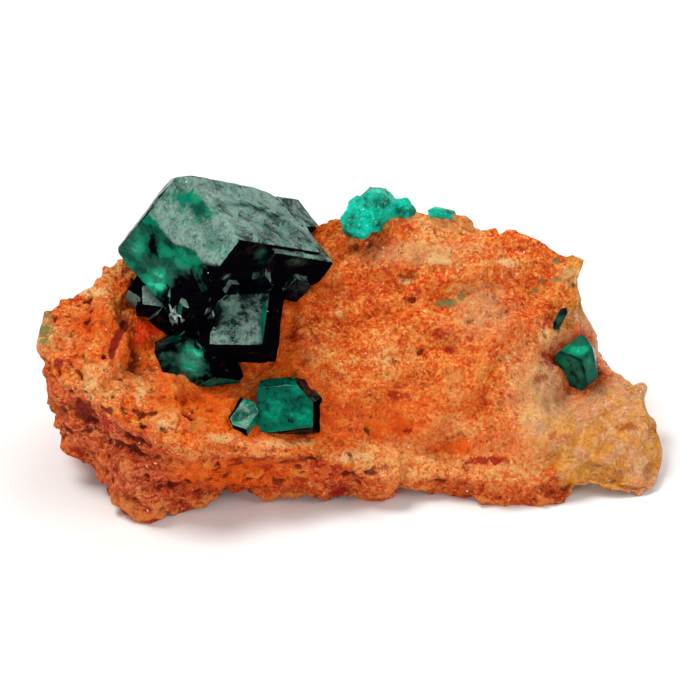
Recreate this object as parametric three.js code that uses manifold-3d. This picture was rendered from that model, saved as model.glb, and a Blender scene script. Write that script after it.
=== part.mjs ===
// Dioptase on matrix: dark green dioptase crystals grown on a broken block of iron-stained rock.
// Millimetres, +Z up, the showiest side towards -Y. The origin is in the flat patch that the block rests on.
import * as THREE from "three";
import { ConvexGeometry } from "three/addons/geometries/ConvexGeometry.js";
import { ParametricGeometry } from "three/addons/geometries/ParametricGeometry.js";
import { mergeVertices } from "three/addons/utils/BufferGeometryUtils.js";
import Module from "manifold-3d";

const wasm = await Module();
wasm.setup();

// ---- driving dimensions ----
const seatGap = 0.3; // between a crystal and the socket it grew in
const rhombTilt = 51; // degrees from the long axis to a rhombohedral end face's normal
const blockSteps = { along: 72, around: 50 };
const restTo = 0; // nothing of the block reaches below this height
const tipCrowding = 0.6; // how far the steps along the block crowd towards its tips, from 0 to 1
const tipFade = 0.03; // share of the length over which the roughness grows in from each tip
const normalReach = { u: 0.012, v: 0.03 }; // half the span over which the skin's slope is taken
const facetSharpness = 14; // higher makes the edges between broken facets sharper
const roughness = [
  { noise: softNoise, size: 4.2, height: 0.55, seed: 1 },
  { noise: facetNoise, size: 3.6, height: 1.1, seed: 5 },
  { noise: facetNoise, size: 1.7, height: 0.3, seed: 9 },
];

// The block is a skin drawn over seven rails, which run from its left tip to its right tip.
const leftTip = [-25, 1.2, 9.8];
const rightTip = [25, -1.3, 1.3];
const rails = [
  {
    name: "foot",
    share: 0.13, // of the way round that lies between this rail and the next
    line: [
      [-24.3, -0.8, 8.6], [-23.1, -3, 3], [-21.9, -4.4, 1.9], [-20.7, -4.9, 1.2], [-19.5, -6.3, 0.5],
      [-18.3, -7.6, 0], [-15.9, -9.2, 0], [-13.6, -7.9, 0], [-11.2, -6.9, 0.2], [-6.4, -5.9, 0.7],
      [-4, -5.7, 0.7], [-1.6, -6.1, 0.2], [1.6, -6, 0], [4.3, -5.4, 0.7], [6.7, -5.4, 0.5], [10.3, -5.8, 0],
      [14.3, -6.8, 0], [16.3, -6.6, 0], [17.8, -6, 0.6], [19, -5.6, 1], [20.6, -6, 0.2], [22.2, -5.9, 0],
      [23.8, -5.3, 0.3], [24.6, -4.6, 0.5],
    ],
  },
  {
    name: "ledge",
    share: 0.18,
    line: [
      [-24.3, -0.5, 9.3], [-23.1, -2.2, 8.8], [-21.9, -3.4, 8.9], [-20.7, -4.5, 8.9], [-18.3, -6.8, 8.6],
      [-15.9, -8.6, 8.2], [-13.6, -8.8, 6.9], [-11.2, -8.3, 6.3], [-6.4, -8, 5.8], [-1.6, -7.5, 4.8],
      [0.8, -7, 3.1], [3.9, -6, 1.6], [7.9, -5.6, 1.9], [14.3, -6.6, 1.7], [16.7, -5.8, 2.4], [19, -4.7, 3],
      [21.4, -4.9, 2.5], [23.4, -4.4, 1.8],
    ],
  },
  {
    name: "brow",
    share: 0.2,
    line: [
      [-24.3, 0.4, 10], [-23.1, -1.2, 10.2], [-20.7, -2, 10.6], [-18.3, -1.3, 10.6], [-16.9, 0.7, 10],
      [-15.1, 1.5, 9.8], [-11.2, 1.5, 10], [-6.4, 1, 10.6], [-1.6, 1, 10.2], [3.9, 2, 9.7], [9.5, 2, 9.1],
      [15.1, 2, 8.5], [17.8, 2, 7.4], [19.8, -0.4, 5.9], [23, -1, 4.3],
    ],
  },
  {
    name: "crest",
    share: 0.13,
    line: [
      [-24.3, 4, 11.2], [-23.1, 5, 11.4], [-21.9, 5.5, 11.6], [-20.7, 6, 12.3], [-19.5, 6.5, 13.7],
      [-18.3, 7, 13.9], [-15.9, 9.2, 13.7], [-11.2, 10.5, 14.8], [-6.4, 10.3, 15.2], [-2, 9.5, 16.7],
      [0.8, 9.7, 16.2], [4.9, 10, 17], [6.7, 10, 17.1], [9.1, 10, 16.5], [11.5, 9.8, 15], [13.9, 9.5, 14.5],
      [16.3, 9.2, 13.7], [17.8, 8.9, 13.4], [18.7, 8.3, 13.1], [19.1, 6.6, 8.4], [19.8, 3.2, 7.2],
      [21.4, 2.5, 6.5], [23.4, 2, 5.1], [24.6, 0.4, 2.8],
    ],
  },
  {
    name: "shoulder",
    share: 0.12,
    line: [
      [-24.3, 4, 9.3], [-23.1, 6.3, 8.6], [-20.7, 8.6, 8], [-15.9, 11.4, 8.6], [-11.2, 12.9, 9.3],
      [-6.4, 13.3, 9.2], [-1.6, 13.6, 9.6], [3.9, 13.9, 10.2], [9.5, 13.5, 9.4], [15.1, 12.4, 8.2],
      [18.3, 11, 6.8], [19.8, 8, 4.8], [23.4, 4, 3],
    ],
  },
  {
    name: "heel",
    share: 0.12,
    line: [
      [-24.3, 2.4, 8.4], [-23.1, 4.4, 4.2], [-20.7, 7, 1.2], [-15.9, 9.6, 0.1], [-11.2, 11.3, -0.2],
      [-1.6, 11.6, -0.2], [3.9, 12.1, -0.2], [9.5, 11.6, -0.2], [15.1, 10.4, -0.1], [18.3, 8.4, 0.3],
      [20.6, 5.6, 0.5], [23.4, 2.6, 0.8],
    ],
  },
  {
    name: "underside",
    share: 0.12,
    line: [
      [-24.3, 0.8, 8.5], [-23.1, 0.8, 3.6], [-20.7, 1, 1.3], [-18.3, 1, 0.1], [-15.9, 1, -0.6],
      [-11.2, 2, -0.7], [3.9, 2.6, -0.7], [15.1, 2, -0.7], [20.6, 0.2, -0.3], [23.4, -1, 0.6],
    ],
  },
];

// Lumps (height above 0) and hollows (below 0) on the block's skin, each a round swelling of its own radius.
const relief = [
  { name: "crevice under the left knob", at: [-21.4, -2.9, 9.5], radius: 1.3, height: -0.8 },
  { name: "hollow beside the left knob", at: [-16.9, 0.2, 9.8], radius: 1.9, height: -0.7 },
  { name: "hollow at the crystals' foot", at: [-11.3, -1.5, 8.9], radius: 2.4, height: -1.3 },
  { name: "hollow below the square face", at: [-7.4, -0.6, 9.4], radius: 1.9, height: -1.1 },
  { name: "left knob", at: [-20.4, 1.2, 11.4], radius: 2.6, height: 0.5 },
  { name: "groove in the left cliff", at: [-19.1, -5.7, 5.4], radius: 1.5, height: -1.1 },
  { name: "left cheek", at: [-22.3, -3.4, 5.2], radius: 1.9, height: 0.7 },
  { name: "pale recess", at: [18.2, 1.6, 6.9], radius: 3.2, height: -1.2 },
  { name: "overhang under the right corner", at: [18.5, 8, 10.4], radius: 2, height: -1.4 },
  { name: "step on the left slope", at: [-13.4, -6.2, 7.8], radius: 1.6, height: 0.45 },
  { name: "cave at the foot of the cliff", at: [-8.2, -7.2, 2.6], radius: 2.2, height: -0.9 },
  { name: "rib down the cliff", at: [-4.6, -7.4, 3.4], radius: 1.5, height: 0.7 },
  { name: "quartz boss", at: [16.9, -2.9, 4.2], radius: 1.9, height: 0.5 },
  { name: "right notch", at: [20.6, -5.2, 1.5], radius: 1.7, height: -0.8 },
  { name: "swell of the main face", at: [9.5, 1.8, 9.2], radius: 5, height: 0.5 },
  { name: "pit in the main face", at: [7.6, 3.8, 11], radius: 1.1, height: -0.5 },
];

// ---- noise that is the same on every run ----
const fract = (t) => t - Math.floor(t);
const mix = (a, b, t) => a + (b - a) * t;
const ease = (t) => t * t * (3 - 2 * t);
const cellValue = (i, j, k, seed) =>
  fract(Math.sin(i * 127.1 + j * 311.7 + k * 74.7 + seed * 53.3) * 43758.5453);

// Smooth noise from -1 to 1, from the values at the corners of a lattice.
function softNoise(p, seed) {
  const [i, j, k] = p.map(Math.floor);
  const [a, b, c] = p.map((t) => ease(fract(t)));
  const at = (di, dj, dk) => cellValue(i + di, j + dj, k + dk, seed);
  const low = mix(mix(at(0, 0, 0), at(1, 0, 0), a), mix(at(0, 1, 0), at(1, 1, 0), a), b);
  const high = mix(mix(at(0, 0, 1), at(1, 0, 1), a), mix(at(0, 1, 1), at(1, 1, 1), a), b);
  return 2 * mix(low, high, c) - 1;
}

// Broken facets: each lattice cell has a seed and a tilted plane, and a point takes the planes of the seeds
// that are nearest.
function facetNoise(p, seed) {
  const base = p.map(Math.floor);
  let sum = 0;
  let weights = 0;
  for (let n = 0; n < 27; n++) {
    const step = [n % 3, Math.floor(n / 3) % 3, Math.floor(n / 9)];
    const cell = base.map((c, axis) => c + step[axis] - 1);
    const from = cell.map((c, axis) => p[axis] - c - cellValue(...cell, seed + axis));
    const weight = Math.exp(-facetSharpness * from.reduce((s, d) => s + d * d, 0));
    const plane = from.reduce((s, d, axis) => s + d * (2 * cellValue(...cell, seed + 3 + axis) - 1), 0);
    sum += weight * plane;
    weights += weight;
  }
  return sum / weights;
}

// ---- the block's skin ----
// A point on a rail at a given x, on straight lines between the rail's points.
function onRail(rail, x) {
  const line = [leftTip, ...rail.line, rightTip];
  let i = 1;
  while (i < line.length - 1 && line[i][0] < x) i++;
  const [a, b] = [line[i - 1], line[i]];
  const t = (x - a[0]) / (b[0] - a[0]);
  return [x, mix(a[1], b[1], t), mix(a[2], b[2], t)];
}

// The bare skin: u runs from the left tip to the right one, closer together near the tips, and v runs round.
function skin(u, v) {
  const t = mix(u, 0.5 - 0.5 * Math.cos(Math.PI * u), tipCrowding);
  const x = mix(leftTip[0], rightTip[0], t);
  let left = v - Math.floor(v);
  let i = 0;
  while (i < rails.length - 1 && left > rails[i].share) left -= rails[i++].share;
  const a = onRail(rails[i], x);
  const b = onRail(rails[(i + 1) % rails.length], x);
  const s = Math.min(1, left / rails[i].share);
  return new THREE.Vector3(mix(a[0], b[0], s), mix(a[1], b[1], s), mix(a[2], b[2], s));
}

function outward(u, v) {
  const u0 = Math.max(0, u - normalReach.u);
  const u1 = Math.min(1, u + normalReach.u);
  const along = skin(u1, v).sub(skin(u0, v));
  const round = skin(u, v + normalReach.v).sub(skin(u, v - normalReach.v));
  return round.cross(along).normalize().negate();
}

// The skin with its rough breakage, lumps and hollows, flat where it rests.
function blockPoint(u, v, target) {
  const p = skin(u, v);
  const at = p.toArray();
  let rise = 0;
  for (const { noise, size, height, seed } of roughness) {
    rise += height * noise(at.map((c) => c / size), seed);
  }
  for (const spot of relief) {
    rise += spot.height * Math.exp(-((p.distanceTo(new THREE.Vector3(...spot.at)) / spot.radius) ** 2));
  }
  const fade = ease(Math.min(1, Math.min(u, 1 - u) / tipFade)); // the tips stay single points
  p.addScaledVector(outward(u, v), rise * fade);
  p.z = Math.max(restTo, p.z);
  target.copy(p);
}

// ---- solids ----
function solidFrom(geometry) {
  const bare = geometry.index ? geometry.toNonIndexed() : geometry.clone();
  const only = new THREE.BufferGeometry().setAttribute("position", bare.getAttribute("position"));
  const merged = mergeVertices(only, 1e-4);
  const index = merged.index.array;
  const triVerts = [];
  for (let i = 0; i < index.length; i += 3) {
    const [a, b, c] = [index[i], index[i + 1], index[i + 2]];
    if (a !== b && b !== c && c !== a) triVerts.push(a, b, c);
  }
  return new wasm.Manifold(
    new wasm.Mesh({
      numProp: 3,
      vertProperties: new Float32Array(merged.attributes.position.array),
      triVerts: new Uint32Array(triVerts),
    }),
  );
}

function geometryFrom(solid) {
  const { vertProperties, triVerts } = solid.getMesh();
  const geometry = new THREE.BufferGeometry();
  geometry.setAttribute("position", new THREE.BufferAttribute(new Float32Array(vertProperties), 3));
  geometry.setIndex(new THREE.BufferAttribute(new Uint32Array(triVerts), 1));
  geometry.computeVertexNormals();
  return geometry;
}

const largestBody = (solid) => solid.decompose().sort((a, b) => b.volume() - a.volume())[0];

// The convex solid inside a set of planes { normal, distance }, from the corners where three of them meet.
function solidInside(planes) {
  const corners = [];
  for (let i = 0; i < planes.length; i++)
    for (let j = i + 1; j < planes.length; j++)
      for (let k = j + 1; k < planes.length; k++) {
        const [a, b, c] = [planes[i], planes[j], planes[k]];
        const volume = a.normal.dot(new THREE.Vector3().crossVectors(b.normal, c.normal));
        if (Math.abs(volume) < 1e-6) continue;
        const corner = new THREE.Vector3()
          .addScaledVector(new THREE.Vector3().crossVectors(b.normal, c.normal), a.distance)
          .addScaledVector(new THREE.Vector3().crossVectors(c.normal, a.normal), b.distance)
          .addScaledVector(new THREE.Vector3().crossVectors(a.normal, b.normal), c.distance)
          .divideScalar(volume);
        if (planes.every((plane) => plane.normal.dot(corner) < plane.distance + 1e-5)) corners.push(corner);
      }
  return solidFrom(new ConvexGeometry(corners));
}

// ---- crystals ----
// A dioptase crystal: a six-sided prism closed at each end by three rhombohedral faces over alternate edges.
// tip is the front apex, axis points from the back apex to it, and turn is where the first end face leans,
// counted round the axis from the side nearest +X. sides holds the six prism faces' distances from the axis.
function dioptasePlanes({ tip, axis, turn, sides, length, cuts = [] }, swell = 0) {
  const c = new THREE.Vector3(...axis).normalize();
  const p = new THREE.Vector3(1, 0, 0).addScaledVector(c, -c.x).normalize();
  const q = new THREE.Vector3().crossVectors(c, p);
  const front = new THREE.Vector3(...tip);
  const back = front.clone().addScaledVector(c, -length);
  const leaning = (azimuth, tilt) => {
    const a = THREE.MathUtils.degToRad(azimuth);
    const t = THREE.MathUtils.degToRad(tilt);
    return new THREE.Vector3()
      .addScaledVector(c, Math.cos(t))
      .addScaledVector(p, Math.sin(t) * Math.cos(a))
      .addScaledVector(q, Math.sin(t) * Math.sin(a));
  };
  const planes = [];
  const add = (normal, point, distance = 0) =>
    planes.push({ normal, distance: normal.dot(point) + distance + swell });
  for (let k = 0; k < 3; k++) {
    add(leaning(turn + 120 * k, rhombTilt), front);
    add(leaning(turn + 120 * k, rhombTilt).negate(), back);
  }
  sides.forEach((distance, k) => add(leaning(turn + 30 + 60 * k, 90), front, distance));
  cuts.forEach(({ azimuth, tilt, distance }) => add(leaning(azimuth, tilt), front, distance));
  return planes;
}

// The big crystal leans out over the front of the block, its point up and towards -Y. Two more planes cut
// its upper right corner and the lower part of its left end face.
const big = {
  tip: [-8.7, 0.2, 20.9],
  axis: [0.28, -0.72, 0.635],
  turn: 58,
  sides: [5.3, 6.2, 8, 6, 8.2, 7.4],
  length: 15.2,
  cuts: [
    { azimuth: 70, tilt: 90, distance: 6 },
    { azimuth: -165, tilt: 60, distance: 0.85 },
  ],
};
// A second crystal grown in line with the big one, which carries its upper right end face on past the point,
// one small step lower.
const rightTwin = {
  tip: [-5.9, 1.9, 18.4],
  axis: big.axis,
  turn: big.turn,
  sides: [4, 3, 3.5, 4, 5.1, 5.05],
  length: 11,
};
const squareFaced = {
  tip: [-6.9, -2.6, 12.7],
  axis: [0.4, -0.9, 0.15],
  turn: 5,
  sides: [3.9, 3.1, 3.2, 3.7, 5.6, 4.6],
  length: 10.5,
};
const teal = {
  tip: [-15.6, -0.6, 10.5],
  axis: [-0.8, -0.4, 0.42],
  turn: 85,
  sides: [2.3, 2.2, 2.6, 2.9, 2.8, 2.3],
  length: 9,
};
const pairRight = {
  tip: [-2.9, -6.4, 7.4],
  axis: [0.46, -0.88, 0.16],
  turn: 12,
  sides: [2.9, 2.7, 3.9, 3.6, 2.6, 3.5],
  length: 7.2,
  cuts: [{ azimuth: 50, tilt: 74, distance: 1.2 }], // the broad bevel at its upper right
};
const pairLeft = {
  tip: [-8.2, -6.8, 7.5],
  axis: [0.2, -0.9, 0.45],
  turn: -15,
  sides: [1.5, 2, 1.3, 0.9, 1.2, 1.5],
  length: 5.4,
};
const rightOne = {
  tip: [18.5, 0.7, 8.9],
  axis: [-0.1, -0.8, 0.6],
  turn: 100,
  sides: [1.75, 2.3, 2.6, 1.8, 0.9, 1.75],
  length: 5.2,
  cuts: [{ azimuth: 40, tilt: 90, distance: 1.2 }],
};

// A small crystal with six nearly equal sides at about the given distance from its axis.
const unevenSides = [1, 0.9, 1.12, 1, 1.06, 0.94];
const bud = (tip, axis, turn, radius, length) => ({
  tip,
  axis,
  turn,
  sides: unevenSides.map((share) => share * radius),
  length,
});

const cluster = [
  big,
  rightTwin,
  squareFaced,
  teal,
  // grown beside the big crystal's right shoulder, in line with it
  bud([-4.4, 8, 16.9], big.axis, big.turn, 2.4, 8),
  bud([-3, 8.7, 15], big.axis, big.turn, 1.1, 5),
  // below its left end face
  bud([-17.7, 3.9, 13.4], [-0.7, -0.5, 0.5], 20, 1.5, 4.5),
  bud([-16.5, 2.6, 12.9], [-0.4, -0.8, 0.4], 50, 1.3, 4.5),
  bud([-15.3, 2, 12.4], [-0.5, -0.6, 0.6], 10, 1.3, 4.5),
  bud([-13.8, 1, 13.5], [-0.2, -0.8, 0.5], 75, 1.7, 5.5),
  bud([-12.3, 0.6, 13.3], [0.1, -0.9, 0.3], 30, 1.6, 5.5),
  bud([-10.7, 0.9, 13.9], [0.3, -0.8, 0.4], 5, 1.4, 6),
  // below its right end face
  bud([-9.4, 0.2, 16.6], [0.1, -0.75, 0.65], 62, 0.65, 4),
  bud([-6.7, 1.1, 16.8], [0.3, -0.7, 0.6], 20, 0.75, 4),
  bud([-4.2, 3.1, 15.1], [0.2, -0.6, 0.75], 45, 1.15, 5),
  bud([-5.6, 2.9, 13.4], [0.3, -0.9, 0.1], 80, 1.3, 5),
];
const crestCrystal = bud([8.6, 10.3, 15.9], [0.93, 0.1, -0.35], 0, 0.45, 2.6);
const edgeCrystal = bud([17.3, 4.8, 11], [0.45, 0.25, 0.85], 10, 0.3, 2.2);

// Crystals run together as one solid, without the pocket that they may close between them.
const union = (solids) => solids.reduce((all, one) => all.add(one));
function grown(crystals, swell) {
  const whole = union(crystals.map((crystal) => solidInside(dioptasePlanes(crystal, swell))));
  const bodies = whole.decompose().filter((body) => body.volume() > 0);
  if (bodies.length > 1) throw new Error("crystals that should run together stand apart");
  return bodies[0];
}

// The turquoise lump on the crest: three rough blocks run together, each with faces all round that lie
// at slightly different depths.
const turquoiseBlocks = [
  { middle: [0.6, 8.8, 16.5], reach: [1.2, 1.3, 1.15], seed: 3 },
  { middle: [2.1, 9.9, 17.1], reach: [1.75, 1.4, 1.5], seed: 8 },
  { middle: [4.1, 10.3, 16.5], reach: [1.4, 1, 0.7], seed: 12 },
];
// The turn from one face to the next in radians, and the depths as shares of the reach.
const blockFaces = { count: 15, turn: 2.4, nearest: 0.88, farthest: 1.12 };
function roughBlock({ middle, reach, seed }, swell) {
  const planes = [];
  for (let k = 0; k < blockFaces.count; k++) {
    const rise = 1 - (2 * k + 1) / blockFaces.count; // directions spread evenly over a sphere along a spiral
    const around = blockFaces.turn * k + seed;
    const flat = Math.sqrt(1 - rise * rise);
    const normal = new THREE.Vector3(flat * Math.cos(around), flat * Math.sin(around), rise);
    const radius = 1 / Math.hypot(normal.x / reach[0], normal.y / reach[1], normal.z / reach[2]);
    const depth = radius * mix(blockFaces.nearest, blockFaces.farthest, cellValue(k, 1, 2, seed));
    planes.push({ normal, distance: normal.dot(new THREE.Vector3(...middle)) + depth + swell });
  }
  return solidInside(planes);
}
const turquoise = (swell) => union(turquoiseBlocks.map((block) => roughBlock(block, swell)));

// ---- the specimen ----
const green = { color: 0x04503c, roughness: 0.15, metalness: 0 };
const specimen = new THREE.Group();
function place(name, solid, material) {
  const mesh = new THREE.Mesh(geometryFrom(solid), new THREE.MeshStandardMaterial(material));
  mesh.name = name;
  specimen.add(mesh);
}

const growths = {
  crystal_cluster: (swell) => grown(cluster, swell),
  crystal_pair: (swell) => grown([pairRight, pairLeft], swell),
  right_crystal: (swell) => grown([rightOne], swell),
  crest_crystal: (swell) => grown([crestCrystal], swell),
  edge_crystal: (swell) => grown([edgeCrystal], swell),
  turquoise_lump: turquoise,
};

let block = solidFrom(new ParametricGeometry(blockPoint, blockSteps.along, blockSteps.around));
for (const make of Object.values(growths)) block = block.subtract(make(seatGap));
place("matrix", largestBody(block), { color: 0xc8683a, roughness: 0.8, metalness: 0 });
for (const [name, make] of Object.entries(growths)) {
  place(name, make(0), name === "turquoise_lump" ? { color: 0x14b394, roughness: 0.7, metalness: 0 } : green);
}

export default specimen;
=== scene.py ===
import itertools
import math

import bmesh
import bpy
import numpy as np
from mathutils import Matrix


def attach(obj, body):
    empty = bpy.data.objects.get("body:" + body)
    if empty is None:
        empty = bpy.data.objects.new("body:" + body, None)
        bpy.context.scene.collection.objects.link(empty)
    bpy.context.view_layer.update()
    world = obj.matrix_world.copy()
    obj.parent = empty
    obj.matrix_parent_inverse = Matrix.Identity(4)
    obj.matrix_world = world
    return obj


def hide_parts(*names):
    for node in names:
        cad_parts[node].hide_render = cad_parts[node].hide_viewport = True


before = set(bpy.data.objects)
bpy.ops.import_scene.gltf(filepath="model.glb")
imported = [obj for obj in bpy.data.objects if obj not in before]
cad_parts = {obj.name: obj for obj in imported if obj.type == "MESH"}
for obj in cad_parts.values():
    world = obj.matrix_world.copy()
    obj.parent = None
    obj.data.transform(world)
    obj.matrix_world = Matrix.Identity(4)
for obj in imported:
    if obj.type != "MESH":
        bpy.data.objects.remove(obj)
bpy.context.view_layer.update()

millimetre = 0.001
weldDistance = 1e-7

# Camera, floor and light
shot = {
    "elevation": 36, "distance": 0.7, "aim": (0, 0, 0.0103), "width": 0.05565, "sensor": 36, "nearest": 0.01,
}
floor = {"size": 3000, "level": -0.02, "colour": (0.9, 0.9, 0.9, 1)}  # in millimetres
sky = {"colour": (1.0, 1.0, 1.0), "strength": 0.25}
lampAim = (0, 0, 0.008)
lamps = {
    "key": {"at": (-0.2, 0.1, 0.42), "size": (0.2, 0.2), "power": 1.7, "colour": (1.0, 0.98, 0.95)},
    "front": {"at": (-0.2, -0.5, 0.12), "size": (0.4, 0.3), "power": 1.3, "colour": (1.0, 0.99, 0.97)},
    "right": {"at": (0.4, -0.1, 0.25), "size": (0.3, 0.3), "power": 0.9, "colour": (1.0, 0.99, 0.97)},
    "back": {"at": (0.15, 0.3, 0.35), "size": (0.3, 0.2), "power": 0.7, "colour": (0.98, 1.0, 1.0)},
}


def aimed(thing, place, target):
    # stands a camera or lamp at a place and turns its -Z axis to the target
    thing.location = place
    away = [a - b for a, b in zip(place, target)]
    flat = math.hypot(away[0], away[1])
    thing.rotation_euler = (math.atan2(flat, away[2]), 0, math.atan2(away[0], -away[1]))
    bpy.context.scene.collection.objects.link(thing)


def setStage():
    scene = bpy.context.scene
    rise = math.radians(shot["elevation"])
    lens = bpy.data.cameras.new("camera")
    lens.sensor_width = shot["sensor"]
    lens.lens = shot["sensor"] * shot["distance"] / shot["width"]
    lens.clip_start = shot["nearest"]
    camera = bpy.data.objects.new("camera", lens)
    place = (0, -shot["distance"] * math.cos(rise), shot["aim"][2] + shot["distance"] * math.sin(rise))
    aimed(camera, place, shot["aim"])
    scene.camera = camera
    for name, lamp in lamps.items():
        light = bpy.data.lights.new(name, "AREA")
        light.shape = "RECTANGLE"
        light.size, light.size_y = lamp["size"]
        light.energy = lamp["power"]
        light.color = lamp["colour"]
        aimed(bpy.data.objects.new(name, light), lamp["at"], lampAim)
    world = bpy.data.worlds.new("sky")
    world.use_nodes = True
    background = world.node_tree.nodes["Background"].inputs
    background["Color"].default_value = (*sky["colour"], 1)
    background["Strength"].default_value = sky["strength"]
    scene.world = world
    scene.view_settings.view_transform = "Standard"
    half = floor["size"] / 2
    corners = [(x * half, y * half, floor["level"]) for x, y in ((-1, -1), (1, -1), (1, 1), (-1, 1))]
    ground = newPiece("floor", np.array(corners), [np.array([[0, 1, 2, 3]])])
    ground.data.materials.append(floorFinish())


# Noise that is the same on every run
def cellValue(i, j, k, seed):
    # from 0 to 1 for a lattice cell: the fractional part of a large sine of the cell's numbers
    t = np.sin(i * 127.1 + j * 311.7 + k * 74.7 + seed * 53.3) * 43758.5453
    return t - np.floor(t)


def ease(t):
    # 0 up to 1 with level ends: three squares less two cubes
    t = np.clip(t, 0, 1)
    return t * t * (3 - 2 * t)


def between(value, low, high):
    return ease((value - low) / (high - low))


def softNoise(points, size, seed):
    # smooth noise from -1 to 1: the values at a lattice's corners, blended by eased distances
    p = points / size
    base = np.floor(p)
    a, b, c = ease(p - base).T
    i, j, k = base.T
    total = 0
    for di, dj, dk in itertools.product((0, 1), repeat=3):
        weight = (a if di else 1 - a) * (b if dj else 1 - b) * (c if dk else 1 - c)
        total = total + weight * cellValue(i + di, j + dj, k + dk, seed)
    return 2 * total - 1


def nearCells(points, size, seed):
    # the 27 cells about each point: a cell's numbers, and the way from its seed to the point
    p = points / size
    base = np.floor(p)
    for step in itertools.product((-1, 0, 1), repeat=3):
        cell = (base + step).T
        yield cell, [p[:, axis] - cell[axis] - cellValue(*cell, seed + axis) for axis in range(3)]


def facetNoise(points, size, seed, sharpness=14):
    # broken facets: each cell has a seed and a tilted plane, and a point takes its nearest seeds' planes
    total = 0
    weights = 0
    for cell, away in nearCells(points, size, seed):
        weight = np.exp(-sharpness * sum(d * d for d in away))
        plane = sum(d * (2 * cellValue(*cell, seed + 3 + axis) - 1) for axis, d in enumerate(away))
        total = total + weight * plane
        weights = weights + weight
    return total / weights


def pebbleNoise(points, size, seed):
    # rounded grains: 1 less twice the squared distance to the nearest seed, and never under 0
    nearest = np.full(len(points), 9.0)
    for _, away in nearCells(points, size, seed):
        nearest = np.minimum(nearest, sum(d * d for d in away))
    return np.clip(1 - nearest / 0.5, 0, 1)


def staircase(t):
    # whole steps, each with a short ramp halfway
    return np.floor(t) + between(t - np.floor(t), 0.35, 0.65)


def newPiece(name, points, faces):
    # points in millimetres; faces as arrays of vertex numbers, one array for each number of corners
    mesh = bpy.data.meshes.new(name)
    listed = [face for group in faces for face in group.tolist()]
    mesh.from_pydata((points * millimetre).tolist(), [], listed)
    mesh.update()
    mesh.shade_smooth()
    piece = bpy.data.objects.new(name, mesh)
    bpy.context.scene.collection.objects.link(piece)
    return piece


def ringFaces(count, rings):
    # faces over one first point and the rings of count points round it: a fan, and quads from ring to ring
    here = np.arange(count)
    after = (here + 1) % count
    fan = np.stack([np.zeros(count, int), here + 1, after + 1], 1)
    ring = np.arange(rings - 1)[:, None] * count + 1
    quads = np.stack([ring + here, ring + count + here, ring + count + after, ring + after], -1)
    return fan, quads.reshape(-1, 4)


def paint(piece, name, values):
    layer = piece.data.attributes.new(name, "FLOAT", "POINT")
    layer.data.foreach_set("value", np.asarray(values, np.float32))


def settle(piece, node, material):
    piece.data.materials.clear()
    piece.data.materials.append(material)
    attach(piece, "root")
    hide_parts(node)
    print(piece.name, len(piece.data.polygons), "faces")


# Crystals
rhombTilt = 51  # degrees from the long axis to an end face's normal
bigAxis = (0.28, -0.72, 0.635)
bigTurn = 58
unevenSides = (1, 0.9, 1.12, 1, 1.06, 0.94)


def grown(tip, axis, turn, sides, length, **more):
    return {"tip": tip, "axis": axis, "turn": turn, "sides": sides, "length": length, **more}


def bud(tip, axis, turn, radius, length, **more):
    # a small crystal: its six sides lie about one radius from its axis
    return grown(tip, axis, turn, [share * radius for share in unevenSides], length, **more)


cluster = {
    "big": grown((-8.7, 0.2, 20.9), bigAxis, bigTurn, (5.3, 6.2, 8, 6, 8.2, 7.4), 15.2,
                 cuts=((70, 90, 6), (-165, 60, 0.85)), step=0.26, rings=26),
    "rightTwin": grown((-5.9, 1.9, 18.4), bigAxis, bigTurn, (4, 3, 3.5, 4, 5.1, 5.05), 11,
                       step=0.3, rings=14),
    "squareFaced": grown((-6.9, -2.6, 12.7), (0.4, -0.9, 0.15), 5, (3.9, 3.1, 3.2, 3.7, 5.6, 4.6), 10.5,
                         step=0.26, rings=16),
    "teal": grown((-15.6, -0.6, 10.5), (-0.8, -0.4, 0.42), 85, (2.3, 2.2, 2.6, 2.9, 2.8, 2.3), 9,
                  step=0.26, rings=14),
    "shoulderLarge": bud((-4.4, 8, 16.9), bigAxis, bigTurn, 2.4, 8),
    "shoulderSmall": bud((-3, 8.7, 15), bigAxis, bigTurn, 1.1, 5),
    "leftBud1": bud((-17.7, 3.9, 13.4), (-0.7, -0.5, 0.5), 20, 1.5, 4.5),
    "leftBud2": bud((-16.5, 2.6, 12.9), (-0.4, -0.8, 0.4), 50, 1.3, 4.5),
    "leftBud3": bud((-15.3, 2, 12.4), (-0.5, -0.6, 0.6), 10, 1.3, 4.5),
    "leftBud4": bud((-13.8, 1, 13.5), (-0.2, -0.8, 0.5), 75, 1.7, 5.5),
    "leftBud5": bud((-12.3, 0.6, 13.3), (0.1, -0.9, 0.3), 30, 1.6, 5.5),
    "leftBud6": bud((-10.7, 0.9, 13.9), (0.3, -0.8, 0.4), 5, 1.4, 6),
    "rightBud1": bud((-9.4, 0.2, 16.6), (0.1, -0.75, 0.65), 62, 0.65, 4),
    "rightBud2": bud((-6.7, 1.1, 16.8), (0.3, -0.7, 0.6), 20, 0.75, 4),
    "rightBud3": bud((-4.2, 3.1, 15.1), (0.2, -0.6, 0.75), 45, 1.15, 5),
    "rightBud4": bud((-5.6, 2.9, 13.4), (0.3, -0.9, 0.1), 80, 1.3, 5),
}
pair = {
    "pairRight": grown((-2.9, -6.4, 7.4), (0.46, -0.88, 0.16), 12, (2.9, 2.7, 3.9, 3.6, 2.6, 3.5), 7.2,
                       cuts=((50, 74, 1.2),), step=0.18, rings=18),
    "pairLeft": grown((-8.2, -6.8, 7.5), (0.2, -0.9, 0.45), -15, (1.5, 2, 1.3, 0.9, 1.2, 1.5), 5.4,
                      step=0.18, rings=16),
}
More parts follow.
